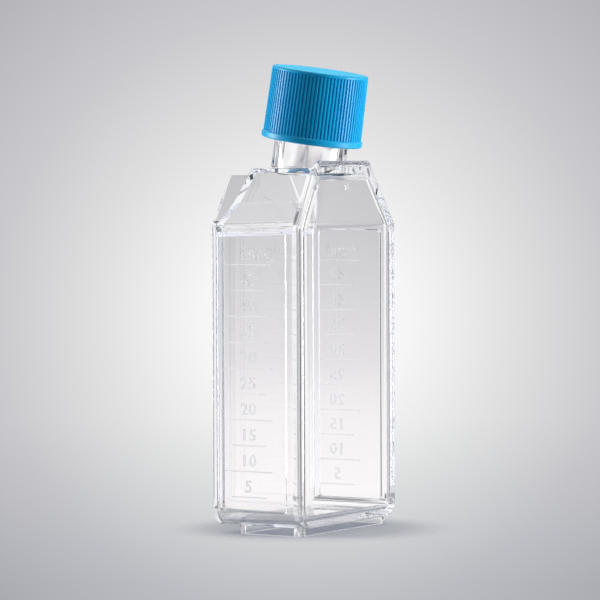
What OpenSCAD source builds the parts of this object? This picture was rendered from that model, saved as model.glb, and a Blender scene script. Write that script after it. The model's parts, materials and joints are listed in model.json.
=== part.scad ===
// Cell culture flask of 25 square centimetres: a clear moulded body with a canted neck,
// a growth plate welded over its open back, and a ribbed screw cap with a sealing liner.
// It stands on its end foot. The graduated sides face -X and +X, the front wall faces -Y,
// the growth plate is at the back, +Y, and the neck leans forward.

/* [Body] */
// Width across the two graduated sides
body_w = 42; // [34:0.5:52]
// Depth from the front wall to the outside of the growth plate
body_d = 24.5; // [21.5:0.5:32]
// Height of the straight sides, from the underside of the body to the shoulder
straight_h = 69.6; // [45:0.2:95]
// Height of the shoulder, from the straight sides to the top wall's outside
shoulder_h = 13.2; // [10.5:0.2:17]
// Lean of each side over the shoulder, from upright
side_lean = 33.4; // [22:0.2:36]
// Lean of the front wall over the shoulder, from upright
front_lean = 4.1; // [0:0.1:5]
// Thickness of the moulded walls
wall = 1.5; // [1:0.05:1.9]
// Radius of the body's two bottom corners
corner_r = 4; // [2.5:0.1:7]
// Rounding of the outer edges round the front wall
edge_r = 0.6; // [0.3:0.05:1]
// Rounding of the inner edges round the front wall
fillet_r = 1.7; // [0.8:0.1:2]

/* [Growth plate] */
// Thickness of the growth plate
plate_t = 1.2; // [0.8:0.05:1.6]

/* [Ramp behind the neck] */
// Height of the ramp's foot above the start of the shoulder
ramp_foot_h = 0.6; // [0.2:0.1:1.5]
// Height of the ramp's bend above the start of the shoulder
ramp_bend_h = 4.9; // [4:0.1:6.5]
// Depth of the ramp's bend, in from the back of the flask
ramp_bend_d = 3.3; // [2.6:0.1:4]
// Depth of the ramp's top, in from the back of the flask
ramp_top_d = 5.3; // [4.4:0.1:6.5]

/* [Front lip] */
// Height of the lip that the front wall makes above the top wall
lip_h = 1.7; // [0.8:0.1:2.5]
// Thickness of the lip at its top
lip_t = 0.9; // [0.6:0.1:1.2]
// Radius of the lip's two top corners
lip_r = 1.8; // [0.8:0.1:3]
// Diameter of the gate mark
gate_d = 1.3; // [0.8:0.1:2]
// Height of the gate mark above the wall
gate_h = 0.25; // [0.1:0.05:0.5]
// Distance of the gate mark below the top wall's outside
gate_drop = 4.4; // [3:0.1:7]

/* [Side panels] */
// Depth of the recessed panel in each graduated side
panel_depth = 0.45; // [0.2:0.05:0.6]
// Width of the frame in front of the panel
frame_front = 4.4; // [3:0.1:6]
// Width of the frame behind the panel, from the back of the flask
frame_back = 2.6; // [1.8:0.1:4]
// Height of the frame below the panel
frame_bottom = 3.4; // [2.5:0.1:6]
// Height of the frame above the panel
frame_top = 1.4; // [0.8:0.1:3]
// Width of the sloped step round the panel
panel_step = 0.6; // [0.3:0.05:0.9]
// Radius of the panel's corners
panel_r = 1.2; // [0.9:0.1:2]

/* [Foot] */
// Height of the rim that the flask stands on
foot_h = 1.9; // [1:0.1:3]
// Width of the rim
foot_t = 1.5; // [1:0.1:2]
// How far the rim stands in from the front wall and the sides
foot_inset = 1.5; // [0.6:0.1:2]
// How far the rim stands in from the back of the flask
foot_back = 5.6; // [3:0.1:8]
// Corner radius of the rim, seen from below
foot_r = 1.9; // [1.8:0.1:4]

/* [Neck] */
// Lean of the neck towards the front
neck_cant = 9; // [4:0.5:10]
// Distance of the neck from the middle of the body, at the top wall
neck_forward = 1; // [0.6:0.1:1.6]
// Outside diameter of the neck below the cap
neck_od = 17.2; // [15.5:0.1:19.2]
// Bore of the neck
neck_bore = 13.3; // [10:0.1:14]
// Length of plain neck that shows below the cap
neck_show = 6.2; // [5.2:0.1:9]
// How much thinner the neck is where the thread is, on the radius
neck_step = 0.45; // [0.3:0.05:0.6]

/* [Cap] */
// Height of the cap
cap_h = 16.8; // [13:0.1:20]
// Clearance between the neck and the cap's bore, on the radius
cap_gap = 1.15; // [0.6:0.05:1.4]
// Thickness of the skirt at its top, under the ribs
skirt_t = 1.2; // [0.7:0.05:1.4]
// How much the cap widens from its top to its bottom, on the radius
cap_flare = 0.25; // [0:0.05:0.6]
// Thickness of the cap's end
cap_end = 1.5; // [1:0.1:2.2]
// Height of the bead round the bottom of the cap
bead_h = 1.6; // [0.8:0.1:2]
// How far the bead stands out beyond the ribs
bead_out = 0.3; // [0.1:0.05:0.8]
// Chamfer on the bead's edges
bead_edge = 0.3; // [0.1:0.05:0.35]
// Number of grip ribs
rib_count = 84; // [60:2:96]
// Height of the ribs above the skirt
rib_h = 0.35; // [0.2:0.05:0.45]
// Height of the plain band above the ribs
cap_band = 1; // [0.6:0.1:1.6]
// Rounding of the cap's top edge
cap_edge_r = 0.5; // [0.3:0.1:0.6]

/* [Sealing liner] */
// Thickness of the liner
liner_t = 1; // [0.6:0.1:1.6]
// Clearance round the liner, inside the cap
liner_gap = 0.25; // [0.15:0.05:0.4]
// Clearance between the liner and the cap's end
liner_play = 0.1; // [0.05:0.05:0.3]

/* [Hidden] */
over = 1;                                       // how far a cut runs past what it cuts
thin = 0.01;                                    // the least size that a hull's sheet can have
base_z = foot_h;                                // underside of the body
shoulder_z = base_z + straight_h;
top_z = shoulder_z + shoulder_h;                // outside of the top wall
lip_z = top_z + lip_h;
gate_z = top_z - gate_drop;
front_y = -body_d / 2;
back_y = body_d / 2;
rim_y = back_y - plate_t;                       // where the body's walls meet the growth plate
plate_top_z = shoulder_z + ramp_foot_h;         // the plate ends at the foot of the ramp
ramp_slope = atan2(ramp_bend_d - plate_t, ramp_bend_h - ramp_foot_h);
ramp_wall = wall / cos(ramp_slope);             // the ramp's wall, measured along Y
neck_base = [0, -neck_forward, top_z];
cap_foot_s = neck_show;                         // places along the neck's axis, from the top wall
neck_top_s = cap_foot_s + cap_h - cap_end - liner_play - liner_t;
cap_bore_r = neck_od / 2 + cap_gap;
cap_top_r = cap_bore_r + skirt_t + rib_h;       // over the ribs, at the top of the cap
cap_low_r = cap_top_r + cap_flare;              // over the ribs, at the bottom of the cap
bead_r = cap_low_r + bead_out;
rib_sink = 0.2;                                 // how far the ribs run into the bead and the band
cap_tip = -neck_forward - (cap_foot_s + cap_h) * sin(neck_cant) - cap_top_r * cos(neck_cant);
origin_shift = -(cap_tip + back_y) / 2;         // centres the whole flask on the origin, front to back
CLEAR = [0.86, 0.91, 0.94, 0.35];
BLUE = [0.05, 0.53, 0.79];
LINER = [0.93, 0.94, 0.93];

// The front outline of the body, as [x, z], moved in by d on every side: two round bottom
// corners, upright sides, and a shoulder that leans in up to the height top
function outline(d, top, top_r = 0, steps = 6) = let(
    bend_z = shoulder_z - d * tan(side_lean / 2),
    r = max(thin, top_r - d),
    top_x = body_w / 2 - (r + d) / cos(side_lean) - (top - d - r - shoulder_z) * tan(side_lean),
    right = concat(
        [for (i = [0:steps]) let(a = 90 * i / steps - 90)
            [body_w / 2 - corner_r + (corner_r - d) * cos(a), base_z + corner_r + (corner_r - d) * sin(a)]],
        [[body_w / 2 - d, bend_z]],
        [for (i = [0:4]) let(a = side_lean + (90 - side_lean) * i / 4)
            [top_x + r * cos(a), top - d - r + r * sin(a)]]))
    concat(right, [for (i = [len(right) - 1:-1:0]) [-right[i].x, right[i].y]]);

// How far back the front wall stands at the height z
function front_at(z) = front_y + max(0, z - shoulder_z) * tan(front_lean);

// The ramp that closes the shoulder behind the neck, as [y, z] from its foot to the height top
function ramp(shift, top) = let(
    bend = [back_y - ramp_bend_d - shift, shoulder_z + ramp_bend_h],
    end = [back_y - ramp_top_d - shift, top_z],
    k = (top - bend.y) / (end.y - bend.y))
    [[rim_y, plate_top_z - shift / tan(ramp_slope)], bend, bend + k * (end - bend)];

// A rectangle with round corners, as points
function round_rect(x0, x1, y0, y1, r, steps = 6) = [
    for (c = [[x1 - r, y1 - r, 0], [x0 + r, y1 - r, 90], [x0 + r, y0 + r, 180], [x1 - r, y0 + r, 270]],
        i = [0:steps]) let(a = c[2] + 90 * i / steps) [c[0] + r * cos(a), c[1] + r * sin(a)]];

// A sheet in the X-Z plane with the given outline, from y0 to y1
module across_y(points, y0, y1) {
    translate([0, y1, 0]) rotate([90, 0, 0]) linear_extrude(y1 - y0) polygon(points);
}

// A sheet in the Y-Z plane with the given outline, across the whole flask
module across_x(points, half_w) {
    translate([-half_w, 0, 0]) rotate([90, 0, 90]) linear_extrude(2 * half_w) polygon(points);
}

// A block with the body's outline and a rounded edge round its front
module rounded_block(d, r, top, top_r = 0) {
    hull() {
        for (p = outline(d + r, top, top_r, 4))
            translate([p.x, front_at(p.y) + d + r, p.y]) sphere(r, $fn = 20);
        across_y(outline(d, top, top_r, 8), 0, back_y + over);
    }
}

// Side view of the body's outside: the lip, the top wall, the fins' edge and the plate's seat
function side_outer() = let(lip_y = front_at(lip_z) + lip_t, fin_z = top_z - wall) concat(
    [[front_y - over, base_z - over], [front_y - over, lip_z + over], [lip_y, lip_z + over]],
    [for (a = [0:15:90]) [lip_y + lip_h * (1 - cos(a)), lip_z - lip_h * sin(a)]],
    [ramp(0, top_z)[2], ramp(0, fin_z)[2], [back_y, fin_z]],
    [[back_y, plate_top_z], [rim_y, plate_top_z], [rim_y, base_z - over]]);

// Side view of the cavity
function side_inner() = let(shift = ramp_wall, ceiling = top_z - wall) concat(
    [[front_y, base_z], [front_y, ceiling + over]],
    [for (i = [2:-1:0]) ramp(shift, ceiling + (i == 2 ? over : 0))[i]],
    [[rim_y + over, ramp(shift, top_z)[0].y], [rim_y + over, base_z]]);

// Everything set on the neck's axis: s along it from the top wall
module on_neck(s = 0) {
    translate(neck_base) rotate([neck_cant, 0, 0]) translate([0, 0, s]) children();
}

// The space behind the ramp, between the two side fins that run on to the plate's plane
module between_fins() {
    intersection() {
        across_y(outline(wall, top_z + 2 * over), 0, back_y + over);
        across_x(concat(ramp(0, top_z), [[back_y + over, top_z + over], [back_y + over, plate_top_z]]),
            body_w);
    }
}

// The rim under the end wall
module foot() {
    x = body_w / 2 - foot_inset;
    y0 = front_y + foot_inset;
    y1 = back_y - foot_back;
    linear_extrude(foot_h + corner_r) difference() {
        polygon(round_rect(-x, x, y0, y1, foot_r));
        polygon(round_rect(foot_t - x, x - foot_t, y0 + foot_t, y1 - foot_t, foot_r - foot_t));
    }
}

// The recess in one graduated side, with a sloped step all round
module side_panel(side) {
    z0 = base_z + frame_bottom;
    z1 = shoulder_z - frame_top;
    y0 = front_y + frame_front;
    y1 = back_y - frame_back;
    module sheet(grow, x) {
        translate([side * x, 0, 0]) rotate([90, 0, 90]) linear_extrude(thin)
            polygon(round_rect(y0 - grow, y1 + grow, z0 - grow, z1 + grow, panel_r + grow));
    }
    hull() {
        sheet(-panel_step / 2, body_w / 2 - panel_depth);
        sheet(panel_step / 2, body_w / 2 + panel_depth);
    }
}

// The mark that the moulding gate leaves in the middle of the front wall's shoulder
module gate_mark() {
    translate([0, front_at(gate_z), gate_z]) rotate([90 - front_lean, 0, 0])
        cylinder(d = gate_d, h = 2 * gate_h, center = true, $fn = 32);
}

module flask_body() {
    color(CLEAR) difference() {
        union() {
            difference() {
                intersection() {
                    rounded_block(0, edge_r, lip_z, lip_r);
                    across_x(side_outer(), body_w);
                }
                between_fins();
            }
            foot();
            gate_mark();
            on_neck(-wall / 2) cylinder(d = neck_od, h = neck_show + wall / 2, $fn = 96);
            on_neck() cylinder(r = neck_od / 2 - neck_step, h = neck_top_s, $fn = 96);
        }
        intersection() {
            rounded_block(wall, fillet_r, top_z);
            across_x(side_inner(), body_w);
        }
        on_neck(-2 * wall) cylinder(d = neck_bore, h = neck_top_s + 2 * wall + over, $fn = 96);
        side_panel(-1);
        side_panel(1);
    }
}

// The flat plate that cells grow on, welded round its edge to the body's open back
module growth_plate() {
    color(CLEAR) intersection() {
        across_y(outline(0, top_z), rim_y, back_y);
        translate([-body_w, 0, 0]) cube([2 * body_w, back_y + over, plate_top_z]);
    }
}

// The ribbed shell of the cap
module cap() {
    rib_top = cap_h - cap_band;
    pitch = 360 / rib_count;
    rib_shape = [[-0.5, 0], [-0.2, 1], [0.2, 1]];   // each [place across the pitch, height] of a rib
    color(BLUE) on_neck(cap_foot_s) difference() {
        union() {
            rotate_extrude($fn = 2 * rib_count) polygon(concat(
                [[0, 0], [bead_r - bead_edge, 0], [bead_r, bead_edge],
                 [bead_r, bead_h - bead_edge], [bead_r - bead_edge, bead_h], [cap_low_r - rib_h, bead_h],
                 [cap_top_r - rib_h, rib_top], [cap_top_r, rib_top + rib_h]],
                [for (a = [0:15:90])
                    [cap_top_r - cap_edge_r * (1 - cos(a)), cap_h - cap_edge_r * (1 - sin(a))]],
                [[0, cap_h]]));
            translate([0, 0, bead_h - rib_sink])
                linear_extrude(rib_top - bead_h + 2 * rib_sink, scale = cap_top_r / cap_low_r)
                polygon([for (i = [0:rib_count - 1], k = rib_shape)
                    let(a = (i + k[0]) * pitch, r = cap_low_r - rib_h * (1 - k[1]))
                    [r * cos(a), r * sin(a)]]);
        }
        translate([0, 0, -over]) cylinder(r = cap_bore_r, h = cap_h - cap_end + over, $fn = 120);
    }
}

// The liner that seals the neck's rim, held flat under the cap's end
module cap_seal() {
    color(LINER) on_neck(neck_top_s) cylinder(r = cap_bore_r - liner_gap, h = liner_t, $fn = 96);
}

// Moves a piece from the middle of the body to the middle of the whole flask
module in_frame() {
    translate([0, origin_shift, 0]) children();
}

in_frame() flask_body();
in_frame() growth_plate();
in_frame() cap();
in_frame() cap_seal();
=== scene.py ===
import json
import math

import bmesh
import bpy
from mathutils import Matrix, Vector


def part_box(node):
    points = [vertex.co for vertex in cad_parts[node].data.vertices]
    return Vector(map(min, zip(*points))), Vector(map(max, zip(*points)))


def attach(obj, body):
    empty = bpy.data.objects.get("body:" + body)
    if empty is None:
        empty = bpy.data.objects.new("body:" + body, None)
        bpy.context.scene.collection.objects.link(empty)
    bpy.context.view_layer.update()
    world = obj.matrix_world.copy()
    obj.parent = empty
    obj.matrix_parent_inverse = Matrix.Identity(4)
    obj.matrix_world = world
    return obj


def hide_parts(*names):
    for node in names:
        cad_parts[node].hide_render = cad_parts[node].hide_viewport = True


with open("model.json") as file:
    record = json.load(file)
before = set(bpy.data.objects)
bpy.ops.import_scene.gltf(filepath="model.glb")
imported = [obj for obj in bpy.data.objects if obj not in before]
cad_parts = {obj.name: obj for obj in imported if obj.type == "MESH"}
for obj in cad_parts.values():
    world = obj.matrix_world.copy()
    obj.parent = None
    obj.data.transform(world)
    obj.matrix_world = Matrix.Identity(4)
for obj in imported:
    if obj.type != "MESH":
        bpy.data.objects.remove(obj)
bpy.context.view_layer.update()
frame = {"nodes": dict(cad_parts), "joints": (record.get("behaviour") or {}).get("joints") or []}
nodes = frame["nodes"]
scene = bpy.context.scene
scene.view_settings.view_transform = "Standard"
# Light runs along inside the clear walls and turns back many times before it comes out.
scene.cycles.max_bounces = 40
scene.cycles.glossy_bounces = 32
scene.cycles.transmission_bounces = 32

# ---------------------------------------------------------------- Camera
# A long lens a little above the shoulder, turned so that the front wall and one graduated
# side both show. Distances are from the middle of the flask's foot.
view_turn = math.radians(31.887)       # from +X to the way the camera looks, seen from above
view_distance = 0.8561
view_height = 0.0860
view_drop = math.radians(2.16)
view_aside = math.radians(0.078)
view_roll = math.radians(-0.254)
half_depth = 0.01225

camera = bpy.data.objects.new("camera", bpy.data.cameras.new("camera"))
scene.collection.objects.link(camera)
scene.camera = camera
camera.data.sensor_width = 36
camera.data.lens = 218.84
camera.data.clip_start = 0.05
camera.data.clip_end = 20
body_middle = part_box("growth_plate")[1][1] - half_depth
camera_place = Vector((-view_distance * math.cos(view_turn),
                       body_middle - view_distance * math.sin(view_turn), view_height))
camera.matrix_world = (Matrix.Translation(camera_place)
                       @ Matrix.Rotation(view_turn + view_aside - math.pi / 2, 4, "Z")
                       @ Matrix.Rotation(math.pi / 2 - view_drop, 4, "X")
                       @ Matrix.Rotation(view_roll, 4, "Z"))

# ---------------------------------------------------------------- Studio
# A pale surround with a glow behind the flask, three soft lamps and a matt white floor. Clear
# plastic shows mostly what stands round it, so it picks up bright panels and the dark gaps
# between them.


def colour(code):
    """A linear colour from an sRGB hex code."""
    channels = [int(code[i:i + 2], 16) / 255 for i in (1, 3, 5)]
    return [c / 12.92 if c <= 0.04045 else ((c + 0.055) / 1.055) ** 2.4 for c in channels] + [1]


def add(tree, kind, sockets=None, stops=(), **settings):
    """Adds a node with its settings, and fills or links its input sockets.

    The stops of a colour ramp are [place, hex code], the first and the last one first.
    """
    node = tree.nodes.new(kind)
    for name, value in settings.items():
        setattr(node, name, value)
    for i, (place, code) in enumerate(stops):
        stop = node.color_ramp.elements[i] if i < 2 else node.color_ramp.elements.new(place)
        stop.position = place
        stop.color = colour(code)
    for name, value in (sockets or {}).items():
        if isinstance(value, bpy.types.NodeSocket):
            tree.links.new(value, node.inputs[name])
        else:
            node.inputs[name].default_value = value
    return node


glow_drop = 0.043
glow_way = Vector((math.cos(view_turn), math.sin(view_turn), -glow_drop)).normalized()
glow_side = Vector((math.sin(view_turn), -math.cos(view_turn), 0))
world = bpy.data.worlds.new("studio")
scene.world = world
world.use_nodes = True
tree = world.node_tree
tree.nodes.clear()
way = add(tree, "ShaderNodeTexCoord").outputs["Generated"]
height = add(tree, "ShaderNodeSeparateXYZ", {0: way}).outputs["Z"]
toward = add(tree, "ShaderNodeVectorMath", {0: way, 1: glow_way}, operation="DOT_PRODUCT")
angle = add(tree, "ShaderNodeMath", {0: toward.outputs["Value"]}, operation="ARCCOSINE").outputs[0]
half_turns = add(tree, "ShaderNodeMath", {0: angle, 1: math.pi}, operation="DIVIDE").outputs[0]

# Seen directly: a glow that falls off to grey, a little cooler low down.
near_glow = add(tree, "ShaderNodeMath", {0: angle, 1: 0.4}, operation="DIVIDE").outputs[0]
glow = add(tree, "ShaderNodeValToRGB", {0: near_glow}, stops=[
    [0.0, "#FAFAFA"], [1.0, "#D6D6DA"], [0.07, "#F6F6F6"], [0.135, "#E2E2E2"], [0.21, "#CBCACE"],
    [0.31, "#B3B2B8"], [0.6, "#BEBEC4"]]).outputs[0]
lower = add(tree, "ShaderNodeMapRange", {0: height, 1: -0.07, 2: -0.115}).outputs[0]
lower = add(tree, "ShaderNodeMix", {0: lower, 6: colour("#FFFFFF"), 7: colour("#EAEDEF")},
            data_type="RGBA").outputs[2]
glow = add(tree, "ShaderNodeVectorMath", {0: glow, 1: lower}, operation="MULTIPLY").outputs[0]

# Seen through the plastic: the panels, white far above and far below. Straight ahead they are
# grey above, white just under the horizon and dark again below that.
panels = add(tree, "ShaderNodeValToRGB", {0: half_turns}, stops=[
    [0.0, "#FAFAFA"], [1.0, "#24242C"], [0.009, "#F6F6F6"], [0.017, "#E2E2E2"], [0.022, "#C8C8CE"],
    [0.03, "#F4F4F8"], [0.06, "#FFFFFF"], [0.15, "#FFFFFF"], [0.17, "#2A2A34"], [0.29, "#2A2A34"],
    [0.31, "#FFFFFF"], [0.354, "#FFFFFF"], [0.44, "#FFFFFF"], [0.47, "#363642"], [0.53, "#363642"],
    [0.56, "#FFFFFF"], [0.645, "#FCFCFF"], [0.69, "#FFFFFF"], [0.72, "#30303C"], [0.78, "#30303C"],
    [0.81, "#D0D0D8"], [0.93, "#70707A"]]).outputs[0]
steep = add(tree, "ShaderNodeMath", {0: height}, operation="ABSOLUTE").outputs[0]
steep = add(tree, "ShaderNodeMapRange", {0: steep, 1: 0.12, 2: 0.35}).outputs[0]
panels = add(tree, "ShaderNodeMix", {0: steep, 6: panels, 7: colour("#FFFFFF")},
             data_type="RGBA").outputs[2]
level = add(tree, "ShaderNodeMapRange", {0: height, 1: -0.1, 2: 0.0}).outputs[0]
grey_above = add(tree, "ShaderNodeValToRGB", {0: level}, stops=[
    [0.0, "#FFFFFF"], [1.0, "#CCCACE"], [0.29, "#F9F6F7"], [0.46, "#E8E5E7"], [0.62, "#DBD9DC"],
    [0.79, "#D0CED2"]]).outputs[0]
across = add(tree, "ShaderNodeVectorMath", {0: way, 1: glow_side}, operation="DOT_PRODUCT")
across = add(tree, "ShaderNodeMath", {0: across.outputs["Value"]}, operation="ABSOLUTE").outputs[0]
beside = add(tree, "ShaderNodeMapRange", {0: across, 1: 0.05, 2: 0.12}).outputs[0]
grey_above = add(tree, "ShaderNodeMix", {0: beside, 6: grey_above, 7: colour("#FFFFFF")},
                 data_type="RGBA").outputs[2]
dimmed = add(tree, "ShaderNodeVectorMath", {0: panels, 1: grey_above}, operation="MULTIPLY").outputs[0]
ahead = add(tree, "ShaderNodeMapRange", {0: half_turns, 1: 0.16, 2: 0.08}).outputs[0]
low = add(tree, "ShaderNodeMapRange", {0: height, 1: -0.055, 2: -0.095}).outputs[0]
low_ahead = add(tree, "ShaderNodeMath", {0: low, 1: ahead}, operation="MULTIPLY").outputs[0]
through = add(tree, "ShaderNodeMix", {0: low_ahead, 6: dimmed, 7: colour("#FFFCFD")},
              data_type="RGBA").outputs[2]
below = add(tree, "ShaderNodeMapRange", {0: height, 1: -0.09, 2: -0.125}).outputs[0]
far_below = add(tree, "ShaderNodeMapRange", {0: height, 1: -0.15, 2: -0.2}).outputs[0]
below = add(tree, "ShaderNodeMath", {0: below, 1: far_below}, operation="SUBTRACT").outputs[0]
below_ahead = add(tree, "ShaderNodeMath", {0: below, 1: ahead}, operation="MULTIPLY").outputs[0]
through = add(tree, "ShaderNodeMix", {0: below_ahead, 6: through, 7: colour("#585862")},
              data_type="RGBA").outputs[2]

# Mirrored: the same panels, greyed at middle heights.
high = add(tree, "ShaderNodeMapRange", {0: height, 1: -0.1, 2: 0.9}).outputs[0]
sky = add(tree, "ShaderNodeValToRGB", {0: high}, stops=[
    [0.0, "#FFFFFF"], [1.0, "#FFFFFF"], [0.03, "#F4F2F4"], [0.07, "#B0AEB4"], [0.1, "#94939A"],
    [0.3, "#94939A"], [0.5, "#F0F0F4"]]).outputs[0]
mirrored = add(tree, "ShaderNodeVectorMath", {0: sky, 1: panels}, operation="MULTIPLY").outputs[0]

# On matt surfaces: an even pale light that is weaker from the far side of the room.
fill = add(tree, "ShaderNodeValToRGB", {0: half_turns}, stops=[
    [0.0, "#F2F3F6"], [1.0, "#50525A"], [0.3, "#F2F3F6"], [0.56, "#F2F3F6"], [0.78, "#6C6E76"]])
light = add(tree, "ShaderNodeBackground", {"Color": fill.outputs[0], "Strength": 0.55}).outputs[0]

# A refracted ray also counts as a glossy one, so what is seen through the plastic comes last.
rays = add(tree, "ShaderNodeLightPath").outputs
for kind, seen in (("Is Camera Ray", glow), ("Is Glossy Ray", mirrored), ("Is Transmission Ray", through)):
    shown = add(tree, "ShaderNodeBackground", {"Color": seen, "Strength": 1.0}).outputs[0]
    light = add(tree, "ShaderNodeMixShader", {0: rays[kind], 1: light, 2: shown}).outputs[0]
add(tree, "ShaderNodeOutputWorld", {0: light})


aim_height = 0.055


def lamp(name, turn, distance, height, size, power):
    """A soft lamp turned to the flask; turn is in degrees from the camera, to its right."""
    data = bpy.data.lights.new(name, "AREA")
    data.shape = "RECTANGLE"
    data.size, data.size_y = size
    data.energy = power
    lamp_body = bpy.data.objects.new(name, data)
    scene.collection.objects.link(lamp_body)
    around = view_turn + math.pi + math.radians(turn)
    place = Vector((distance * math.cos(around), distance * math.sin(around), height))
    facing = (Vector((0, 0, aim_height)) - place).to_track_quat("-Z", "Y").to_matrix().to_4x4()
    lamp_body.matrix_world = Matrix.Translation(place) @ facing
    lamp_body.visible_camera = False
    lamp_body.visible_transmission = False


lamp("right_softbox", 80, 0.7, 0.1, (0.3, 0.3), 6.0)
lamp("left_softbox", -100, 0.7, 0.1, (0.3, 0.3), 5.0)
lamp("top_softbox", 0, 0.0, 0.8, (0.5, 0.5), 0.25)


def new_material(name):
    """A material with nothing in its node tree yet, and the tree."""
    made = bpy.data.materials.new(name)
    made.use_nodes = True
    made.node_tree.nodes.clear()
    return made, made.node_tree


floor_radius = 0.4
floor_mesh = bmesh.new()
bmesh.ops.create_circle(floor_mesh, cap_ends=True, radius=floor_radius, segments=96)
floor = bpy.data.objects.new("floor", bpy.data.meshes.new("floor"))
floor_mesh.to_mesh(floor.data)
floor_mesh.free()
scene.collection.objects.link(floor)

# Matt white acrylic takes a soft, even shadow. It fades out close round the foot, so that no
# line shows behind the flask.
fade_from, fade_to = 0.018, 0.038
acrylic, tree = new_material("matt_white_acrylic_floor")
place = add(tree, "ShaderNodeTexCoord").outputs["Object"]
radius = add(tree, "ShaderNodeVectorMath", {0: place}, operation="LENGTH").outputs["Value"]
fade = add(tree, "ShaderNodeMapRange", {0: radius, 1: fade_from, 2: fade_to},
           interpolation_type="SMOOTHERSTEP")
flat_white = add(tree, "ShaderNodeBsdfDiffuse", {"Color": colour("#E6E8E8")})
clear = add(tree, "ShaderNodeBsdfTransparent")
both = add(tree, "ShaderNodeMixShader", {0: fade.outputs[0], 1: flat_white.outputs[0], 2: clear.outputs[0]})
add(tree, "ShaderNodeOutputMaterial", {0: both.outputs[0]})
floor.data.materials.append(acrylic)

# ---------------------------------------------------------------- Body
# One injection moulding in clear polystyrene, 42 x 24.5 mm with 1.5 mm walls: the front wall,
# both graduated sides, the end with its foot rim, the shoulder and the neck. A mould leaves its
# edges with a radius of about 0.1 mm, which is what draws the bright and dark edge lines.
edge_radius = 0.00013
sharp = math.radians(30)       # an edge with more of a turn than this gets the radius
hard = math.radians(40)        # an edge with more of a turn than this is shaded as an edge
narrow = 0.00045               # the most that a narrow face has of area to a metre round it
same_point = 2e-6


def rounded_copy(node):
    """A merged copy of a construction node with a small radius on every sharp edge."""
    form = bmesh.new()
    form.from_mesh(nodes[node].data)
    bmesh.ops.remove_doubles(form, verts=form.verts, dist=same_point)
    bmesh.ops.dissolve_limit(form, angle_limit=math.radians(0.2), verts=form.verts, edges=form.edges)
    edges = [e for e in form.edges if e.calc_face_angle(0) > sharp]
    bmesh.ops.bevel(form, geom=edges, offset=edge_radius, segments=3, profile=0.5, material=-1,
                    affect="EDGES")
    bmesh.ops.dissolve_degenerate(form, edges=form.edges, dist=same_point)
    # Broad faces stay flat, and the narrow ones between them run together into a curve.
    for face in form.faces:
        face.smooth = face.calc_area() < narrow * face.calc_perimeter()
    for edge in form.edges:
        edge.smooth = edge.calc_face_angle(0) < hard
    return form


def finished(name, form, finish, body):
    """Makes a piece of a bmesh, gives it its finish, and lets it ride on its body."""
    piece = bpy.data.objects.new(name, bpy.data.meshes.new(name))
    form.to_mesh(piece.data)
    form.free()
    scene.collection.objects.link(piece)
    piece.data.materials.append(finish)
    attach(piece, body)
    return piece


# Moulded polystyrene: fully clear and glossy, with a slight cool cast where it is looked at edge
# on. The flow of the melt leaves a faint ripple, 9 mm across and 150 mm along, that makes the
# lines behind it waver. Soft light comes straight through it with a pale tint.
polystyrene, tree = new_material("moulded_clear_polystyrene")
place = add(tree, "ShaderNodeTexCoord").outputs["Object"]
stretch = add(tree, "ShaderNodeMapping", {"Vector": place, "Scale": (1, 1, 0.06)}).outputs[0]
flow = add(tree, "ShaderNodeTexNoise", {"Vector": stretch, "Scale": 110, "Detail": 2, "Roughness": 0.45})
ripple = add(tree, "ShaderNodeBump", {"Height": flow.outputs[0], "Strength": 0.005, "Distance": 0.00002})
clear_shell = add(tree, "ShaderNodeBsdfPrincipled", {
    "Base Color": colour("#FFFFFF"), "Roughness": 0.0, "IOR": 1.59, "Transmission Weight": 1.0,
    "Normal": ripple.outputs[0]})
let_through = add(tree, "ShaderNodeBsdfTransparent", {"Color": colour("#E6E7EC")})
rays = add(tree, "ShaderNodeLightPath").outputs
soft_light = add(tree, "ShaderNodeMath", {0: rays["Is Shadow Ray"], 1: rays["Is Diffuse Ray"]},
                 operation="MAXIMUM")
both = add(tree, "ShaderNodeMixShader", {
    0: soft_light.outputs[0], 1: clear_shell.outputs[0], 2: let_through.outputs[0]})
depth = add(tree, "ShaderNodeVolumeAbsorption", {"Color": colour("#D0D4E4"), "Density": 6.0})
add(tree, "ShaderNodeOutputMaterial", {"Surface": both.outputs[0], "Volume": depth.outputs[0]})

# Where the mould was etched the plastic is finely matt, and where the weld has melted it is
# coarser: both scatter the light that the clear plastic lets through, so the scale shows pale
# against grey and grey against white, and the weld shows white. The grit is 0.1 mm apart,
# coarser than the real one so that it shows.
matt = {}
for name, roughness, cloudy, bite in (
        ("etched_matt_polystyrene", 0.13, 0.03, 0.3), ("melted_weld_polystyrene", 0.4, 0.6, 0.03)):
    matt[name], tree = new_material(name)
    place = add(tree, "ShaderNodeTexCoord").outputs["Object"]
    grit = add(tree, "ShaderNodeTexNoise", {"Vector": place, "Scale": 9000, "Detail": 2}).outputs[0]
    etched = add(tree, "ShaderNodeBump", {"Height": grit, "Strength": bite, "Distance": 0.00001}).outputs[0]
    soft = add(tree, "ShaderNodeBsdfPrincipled", {
        "Base Color": colour("#FFFFFF"), "Roughness": roughness, "IOR": 1.59, "Transmission Weight": 1.0,
        "Normal": etched})
    pale = add(tree, "ShaderNodeBsdfDiffuse", {"Color": colour("#FFFFFF")})
    both = add(tree, "ShaderNodeMixShader", {0: cloudy, 1: soft.outputs[0], 2: pale.outputs[0]})
    add(tree, "ShaderNodeOutputMaterial", {0: both.outputs[0]})

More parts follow.
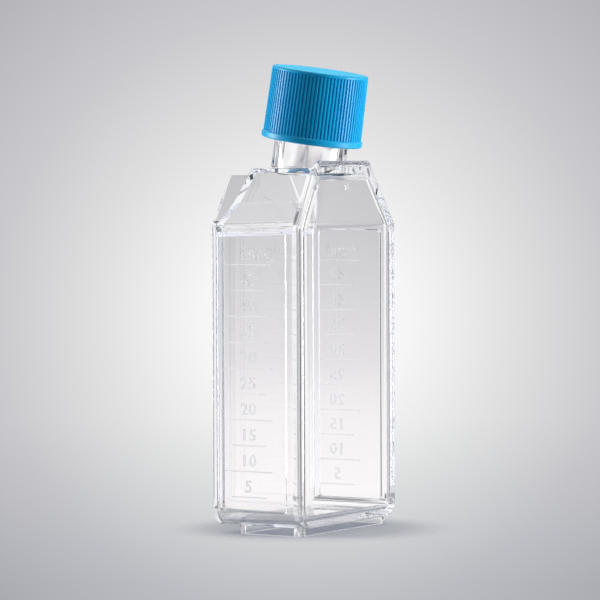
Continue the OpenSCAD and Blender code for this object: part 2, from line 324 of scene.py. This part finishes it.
# The weld to the growth plate is matt along both upright sides.
weld_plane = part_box("growth_plate")[0][1]
weld_low, weld_high = 0.0075, 0.0700
at_the_weld = 0.0001
form = rounded_copy("flask_body")
for cut in (weld_low, weld_high):
    bmesh.ops.bisect_plane(form, geom=form.verts[:] + form.edges[:] + form.faces[:], dist=1e-7,
                           plane_co=(0, 0, cut), plane_no=(0, 0, 1))
for face in form.faces:
    middle = face.calc_center_median()
    if (face.normal.y > 0.99 and abs(middle.y - weld_plane) < at_the_weld
            and weld_low < middle.z < weld_high):
        face.material_index = 1
clear_body = finished("clear_body", form, polystyrene, "flask")
clear_body.data.materials.append(matt["melted_weld_polystyrene"])
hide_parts("flask_body")

# ---------------------------------------------------------------- Scale
# Raised lines every 5 mL, long and short in turn, and raised figures, moulded on both recessed
# sides in etched polystyrene. A line is 0.3 mm wide and stands 0.15 mm proud, and the figures
# are 2.6 mm high. Only the top mark has its unit.
panel_x = 0.0210 - 0.00045
line_end = body_middle + 0.0091
scale_top = 0.06249
scale_step = 0.005978
raised = 0.00015
sunk = 0.00004
half_line = 0.00015
line_edge = 0.00009
long_line = (0.0087, -0.0042)  # its back and front ends, from the middle of its side
short_line = (0.0069, -0.0025)
figure_size = 0.0039
figure_lift = 0.0012           # from a line to the foot of its figures
figure_back = 0.0023


def bar(form, low, high, edge):
    """Adds a small bar between two corners, with its edges rounded."""
    made = bmesh.ops.create_cube(form, size=1.0)["verts"]
    middle = [(a + b) / 2 for a, b in zip(low, high)]
    size = [b - a for a, b in zip(low, high)]
    bmesh.ops.scale(form, vec=size, verts=made)
    bmesh.ops.translate(form, vec=middle, verts=made)
    edges = list(dict.fromkeys(e for v in made for e in v.link_edges))
    bmesh.ops.bevel(form, geom=edges, offset=edge, segments=2, profile=0.5, material=-1, affect="EDGES")


def figures(form, words, align, place, side):
    """Adds raised figures to a side; they read from outside it."""
    text = bpy.data.curves.new("figures", "FONT")
    text.body = words
    text.size = figure_size
    text.align_x = align
    text.extrude = (raised + sunk) / 2
    text.bevel_depth = 0.00003
    text.bevel_resolution = 1
    text.resolution_u = 4
    text.space_character = 1.15
    holder = bpy.data.objects.new("figures", text)
    shape = bpy.data.meshes.new_from_object(holder)
    to_side = Matrix(((0, 0, side, place[0]), (side, 0, 0, place[1]), (0, 1, 0, place[2]), (0, 0, 0, 1)))
    shape.transform(to_side)
    form.from_mesh(shape)
    bpy.data.objects.remove(holder)
    bpy.data.curves.remove(text)
    bpy.data.meshes.remove(shape)


for side, name, back_shift, top_start in (
        (-1, "left_scale", 0.0004, 0.0049), (1, "right_scale", 0.0022, -0.0013)):
    form = bmesh.new()
    line_back = body_middle + back_shift
    inner, outer = panel_x - sunk, panel_x + raised
    figure_x = (panel_x + (raised - sunk) / 2) * side
    for i in range(10):
        z = scale_top - i * scale_step
        back, front = long_line if i % 2 == 0 else short_line
        back = min(line_back + back, line_end)
        bar(form, (min(side * inner, side * outer), line_back + front, z - half_line),
            (max(side * inner, side * outer), back, z + half_line), line_edge)
        if i == 0:
            figures(form, "50mL", "LEFT", (figure_x, body_middle + top_start, z + figure_lift), side)
        else:
            figures(form, str(50 - 5 * i), "CENTER",
                    (figure_x, line_back + figure_back, z + figure_lift), side)
    bmesh.ops.remove_doubles(form, verts=form.verts, dist=1e-7)
    finished(name, form, matt["etched_matt_polystyrene"], "flask")

# ---------------------------------------------------------------- Growth plate
# The clear polystyrene plate that the cells grow on, 1.2 mm thick, is welded to the body round
# its edge. The weld is left as a hairline of 0.03 mm, as it shows in the real flask.
weld_gap = 0.00003
form = rounded_copy("growth_plate")
for vertex in form.verts:
    if vertex.co.y < weld_plane + 0.0004:
        vertex.co.y += weld_gap
clear_plate = finished("clear_plate", form, polystyrene, "flask")
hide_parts("growth_plate")

# ---------------------------------------------------------------- Cap
# A screw cap moulded in blue polyethylene, 23 mm across and 16.8 mm high, with 84 fine grip
# ribs between a plain top band and a bead. It screws down over the neck.

# Moulded polyethylene is slightly waxy: light sinks in a little, its sides catch the light, and
# the colour clouds faintly over 4 mm. Its satin grain is drawn 0.25 mm apart so that it shows.
blue, tree = new_material("moulded_blue_polyethylene")
place = add(tree, "ShaderNodeTexCoord").outputs["Object"]
cloud = add(tree, "ShaderNodeTexNoise", {"Vector": place, "Scale": 260, "Detail": 3}).outputs[0]
tone = add(tree, "ShaderNodeValToRGB", {0: cloud}, stops=[[0.35, "#0CA9DE"], [0.7, "#0FB1E6"]]).outputs[0]
grain = add(tree, "ShaderNodeTexNoise", {"Vector": place, "Scale": 4000, "Detail": 2}).outputs[0]
satin = add(tree, "ShaderNodeBump", {"Height": grain, "Strength": 0.15, "Distance": 0.00002}).outputs[0]
shader = add(tree, "ShaderNodeBsdfPrincipled", {
    "Base Color": tone, "Roughness": 0.34, "IOR": 1.51, "Specular IOR Level": 0.2, "Subsurface Weight": 0.25,
    "Subsurface Radius": (0.1, 0.6, 1.0), "Subsurface Scale": 0.0015, "Sheen Weight": 0.6,
    "Sheen Roughness": 0.3, "Sheen Tint": colour("#34D8FF"), "Normal": satin})
add(tree, "ShaderNodeOutputMaterial", {0: shader.outputs[0]})
nodes["cap"].data.materials.clear()
nodes["cap"].data.materials.append(blue)

# ---------------------------------------------------------------- Threads
# The neck's outside thread and the cap's inside one, right-handed with a lead of 3 mm. They are
# moulded with round crests and fade out at both ends, and the cap's runs between the neck's with
# 0.6 mm to spare.
lead = 0.003
thread_low = -0.0062
half_crest = 0.0007
crest_points = 9
steps_to_a_turn = 72
steps = 199
fade_steps = 9
turning = next(joint for joint in frame["joints"] if joint["name"] == "cap_turn")
to_neck = (Matrix.Translation(turning["pos_m"])
           @ Vector(turning["axis"]).to_track_quat("Z", "Y").to_matrix().to_4x4())
for name, root, depth, start, finish, body, slot in (
        ("neck_thread", 0.00812, 0.00095, 0.0, polystyrene, "flask", "clear_polystyrene"),
        ("cap_thread", 0.00978, -0.00100, math.pi, blue, "screw_cap", "cap_blue")):
    form = bmesh.new()
    crest = []
    for k in range(crest_points):
        rise = 2 * k / (crest_points - 1) - 1
        radius = root + depth * math.cos(rise * math.pi / 2) ** 0.7
        crest.append(form.verts.new((radius * math.cos(start), radius * math.sin(start),
                                     thread_low + rise * half_crest)))
    for k in range(crest_points):
        form.edges.new((crest[k - 1], crest[k]))
    bmesh.ops.spin(form, geom=form.verts[:] + form.edges[:], cent=(0, 0, 0), axis=(0, 0, 1),
                   dvec=(0, 0, lead / steps_to_a_turn), angle=math.tau * steps / steps_to_a_turn,
                   steps=steps, use_merge=False)
    bmesh.ops.holes_fill(form, edges=[e for e in form.edges if e.is_boundary], sides=crest_points)
    for i, vertex in enumerate(form.verts):
        step = i // crest_points
        fade = min(1, (step + 0.5) / fade_steps, (steps + 0.5 - step) / fade_steps)
        radius = math.hypot(vertex.co.x, vertex.co.y)
        vertex.co.xy = vertex.co.xy * (root + (radius - root) * fade) / radius
    bmesh.ops.transform(form, matrix=to_neck, verts=form.verts)
    bmesh.ops.recalc_face_normals(form, faces=form.faces)
    for face in form.faces:
        face.smooth = True
    finished(name, form, finish, body)

# ---------------------------------------------------------------- Sealing liner
# A 1 mm disc of white foamed polyethylene, cut from sheet, that lies under the cap's end. The
# neck's rim presses into it when the cap is screwed down.

# Foamed polyethylene is a flat, even white. Its cells are drawn 0.3 mm across so that they show.
white, tree = new_material("white_foamed_polyethylene")
place = add(tree, "ShaderNodeTexCoord").outputs["Object"]
cells = add(tree, "ShaderNodeTexVoronoi", {"Vector": place, "Scale": 3000}).outputs[0]
foam = add(tree, "ShaderNodeBump", {"Height": cells, "Strength": 0.4, "Distance": 0.00005}).outputs[0]
shader = add(tree, "ShaderNodeBsdfPrincipled", {
    "Base Color": colour("#E6E8E6"), "Roughness": 0.6, "Normal": foam})
add(tree, "ShaderNodeOutputMaterial", {0: shader.outputs[0]})
nodes["cap_seal"].data.materials.clear()
nodes["cap_seal"].data.materials.append(white)
